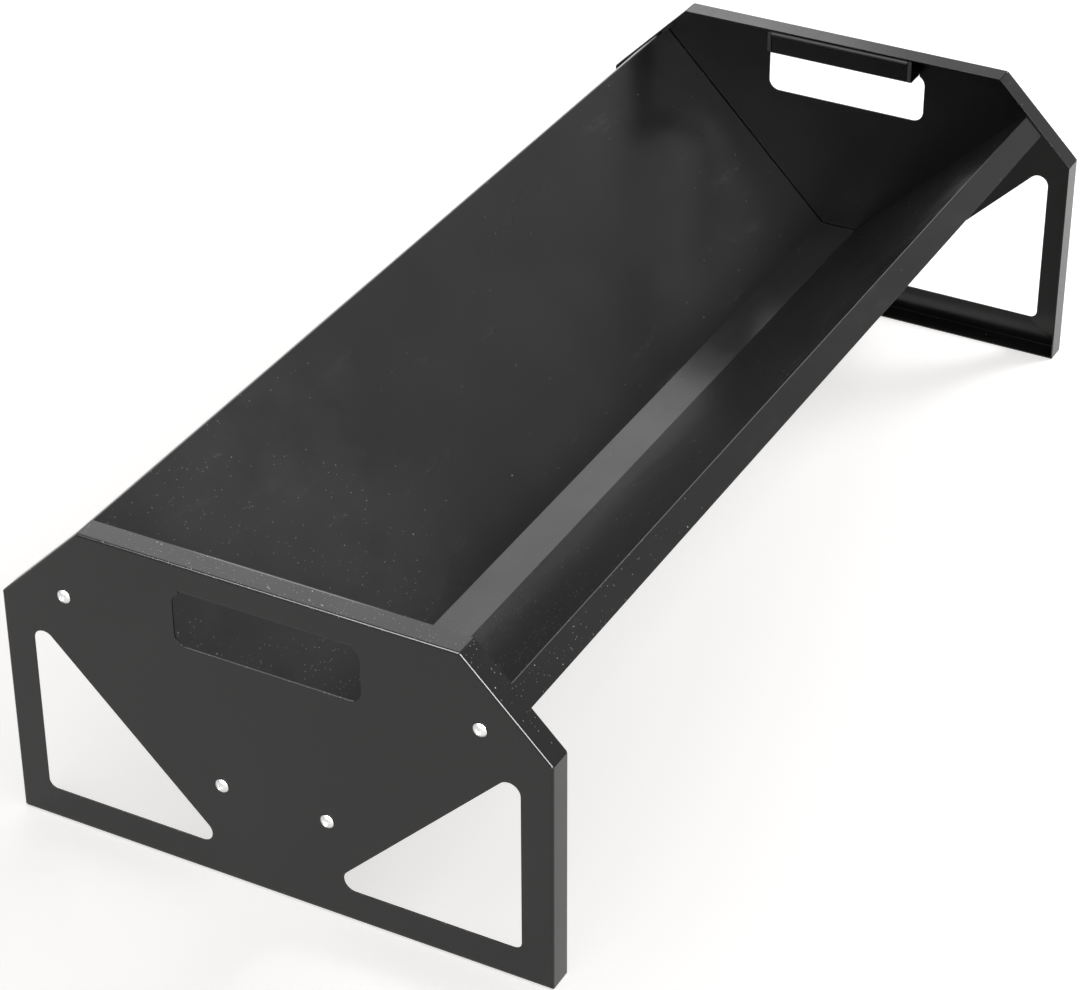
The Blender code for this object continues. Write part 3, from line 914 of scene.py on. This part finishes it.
def make_sheets():
    places = {"left": Matrix.Translation((-LENGTH / 2, 0, 0)),
              "right": Matrix.Translation((LENGTH / 2, 0, 0)) @ Matrix.Rotation(pi, 4, "Z")}
    # panel_paint paints a highlight along the free edge of the -X panel's top flange
    panel_paint = paint_material("panel_paint", grit=1.7, cover=0.28, edge_highlight=0.5)
    # Paler paint for the grip's rolls: a painted highlight, with a rougher finish
    grip_highlight_paint = paint_material("panel_grip_highlight_paint", base=0.065, dull=0.25)
    for side, place in places.items():
        name = f"end_panel_{side}_sheet"
        mesh = panel_mesh(name, place)
        mesh.materials.append(panel_paint)
        mesh.materials.append(grip_highlight_paint)
        finish_sheet(add_piece(name, mesh, panel_paint, [f"end_panel_{side}"]))
    trough_paint = paint_material("trough_paint", drift=1.6, pale_patch=0.055)
    # The end folds' paler paint is painted light, lifting the seam's shade
    seam_light_paint = paint_material("trough_seam_light_paint", base=0.050)
    mesh = trough_mesh("trough_sheet")
    mesh.materials.append(trough_paint)
    mesh.materials.append(seam_light_paint)
    finish_sheet(add_piece("trough_sheet", mesh, trough_paint, ["trough"]))


def make_fasteners():
    low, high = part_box("screw_left_1")
    head_radius = (high.y - low.y) / 2
    head_seat = -LENGTH / 2 - FIT_GAP
    screw = screw_mesh(head_radius, head_seat - low.x, high.x - head_seat)
    low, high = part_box("washer_left_1")
    washer = washer_mesh((high.y - low.y) / 2, high.x - low.x)
    low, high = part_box("nut_left_1")
    nut = nut_mesh(high.x - low.x)
    bright_zinc = zinc_material("screw_zinc", colour=0.80, rough=0.30)
    dull_zinc = zinc_material("washer_and_nut_zinc", colour=0.66, rough=0.34)
    kinds = {"screw": (screw, bright_zinc), "washer": (washer, dull_zinc), "nut": (nut, dull_zinc)}
    for kind, (mesh, material) in kinds.items():
        for side in ("left", "right"):
            for number in range(1, 5):
                node = f"{kind}_{side}_{number}"
                low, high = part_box(node)
                middle = (low + high) / 2
                turn = FIRST_TURN + TURN_STEP * number
                if side == "left":
                    end = head_seat if kind == "screw" else low.x
                    half_turn = Matrix()
                else:
                    turn += RIGHT_TURN
                    end = -head_seat if kind == "screw" else high.x
                    half_turn = Matrix.Rotation(pi, 4, "Z")
                place = Matrix.Translation((end, middle.y, middle.z)) @ half_turn
                place = place @ Matrix.Rotation(turn, 4, "X")
                add_piece(f"{node}_detail", mesh, material, [node], place)


# ---------------------------------------------------------------- studio

def softbox(name, centre, aim, long_way, sizes, radiance, diffuse=True, glossy=True):
    """A rectangular light at centre facing aim, its first size lying along long_way.

    radiance is in watts per square metre and steradian.
    """
    data = bpy.data.lights.new(name, "AREA")
    data.shape = "RECTANGLE"
    data.size, data.size_y = sizes
    data.energy = radiance * pi * sizes[0] * sizes[1]
    light = bpy.data.objects.new(name, data)
    bpy.context.scene.collection.objects.link(light)
    back = (Vector(centre) - Vector(aim)).normalized()
    side = Vector(long_way)
    side = (side - back * side.dot(back)).normalized()
    up = back.cross(side)
    light.matrix_world = Matrix.Translation(centre) @ Matrix((side, up, back)).transposed().to_4x4()
    light.visible_camera = False
    light.visible_diffuse = diffuse
    light.visible_glossy = glossy


def stage_plane(name, low, high, z, tone, glow, soft=0.0):
    """A level sheet of the studio: the pale floor, or a dim dark sheet of painted shade that only shows in
    reflections.

    soft is the distance over which the sheet fades in from its -X edge.
    """
    corners = [(low[0], low[1], z), (high[0], low[1], z), (high[0], high[1], z), (low[0], high[1], z)]
    mesh = bpy.data.meshes.new(name)
    mesh.from_pydata(corners, [], [(0, 1, 2, 3)])
    plane = bpy.data.objects.new(name, mesh)
    bpy.context.scene.collection.objects.link(plane)
    n = Nodes(f"{name}_paint")
    patches = n.span(n.noise(scale=3.0), 0.3, 0.7)
    n.link(n.mix(patches, grey(tone, 0.01), grey(tone * 1.02, 0.01)), n.shader.inputs["Base Color"])
    n.link(n.span(n.noise(scale=40.0), 0.3, 0.7, 0.75, 0.85), n.shader.inputs["Roughness"])
    n.shader.inputs["Specular IOR Level"].default_value = 0.1
    n.shader.inputs["Emission Color"].default_value = GLOW_COLOUR
    n.shader.inputs["Emission Strength"].default_value = glow
    if soft:
        along = n.split(n.place)[0]
        n.link(n.span(along, low[0], low[0] + soft), n.shader.inputs["Alpha"])
    mesh.materials.append(n.material)
    return plane


def make_lights():
    softbox("overhead_bank", centre=(-2.35, 0.10, 3.0), aim=(-2.35, 0.10, 0.0), long_way=(0, 1, 0),
            sizes=(3.15, 2.3), radiance=20.0, diffuse=False)
    softbox("camera_side_strip", centre=(-2.0, -2.4, 2.0), aim=(-0.6, -0.25, 0.28),
            long_way=(1.46, -0.53, 0.52), sizes=(1.7, 1.2), radiance=30.0, diffuse=False)
    softbox("back_screen", centre=(3.6, 2.7, 2.8), aim=(0.0, 0.0, 0.3), long_way=(-1, 1, 0),
            sizes=(3.0, 2.8), radiance=1.7)
    softbox("floor_wash", centre=(1.7, -1.1, 1.4), aim=(0.95, -0.45, 0.0), long_way=(1, 0, 0),
            sizes=(0.7, 0.7), radiance=20.0, glossy=False)


def make_studio():
    scene = bpy.context.scene
    scene.view_settings.view_transform = "Standard"
    world = bpy.data.worlds.new("studio_air")
    scene.world = world
    world.use_nodes = True
    air = world.node_tree.nodes["Background"]
    air.inputs["Color"].default_value = AIR_COLOUR
    air.inputs["Strength"].default_value = 1.0
    make_lights()
    stage_plane("studio_floor", (-FLOOR_REACH, -FLOOR_REACH), (FLOOR_REACH, FLOOR_REACH), FLOOR_Z,
                tone=0.61, glow=0.58)
    # Painted shade: a dim sheet under the trough, seen only in reflections, stands in for the floor's
    # shadow there
    shade_sheet = stage_plane("reflected_shade_sheet", SHADE_SHEET_LOW, SHADE_SHEET_HIGH, SHADE_SHEET_Z, tone=0.02, glow=0.42, soft=0.5)
    shade_sheet.visible_camera = False
    shade_sheet.visible_diffuse = False
    shade_sheet.visible_shadow = False


def make_camera():
    data = bpy.data.cameras.new("camera")
    data.sensor_width = CAMERA_SENSOR
    data.lens = CAMERA_LENS
    camera = bpy.data.objects.new("camera", data)
    bpy.context.scene.collection.objects.link(camera)
    back = Vector((sin(CAMERA_AZIMUTH) * cos(CAMERA_ELEVATION),
                   -cos(CAMERA_AZIMUTH) * cos(CAMERA_ELEVATION), sin(CAMERA_ELEVATION)))
    camera.location = CAMERA_TARGET + back * CAMERA_DISTANCE
    turn = back.to_track_quat("Z", "Y").to_matrix().to_4x4() @ Matrix.Rotation(CAMERA_ROLL, 4, "Z")
    camera.rotation_euler = turn.to_euler()
    bpy.context.scene.camera = camera


make_camera()
make_sheets()
make_fasteners()
make_studio()
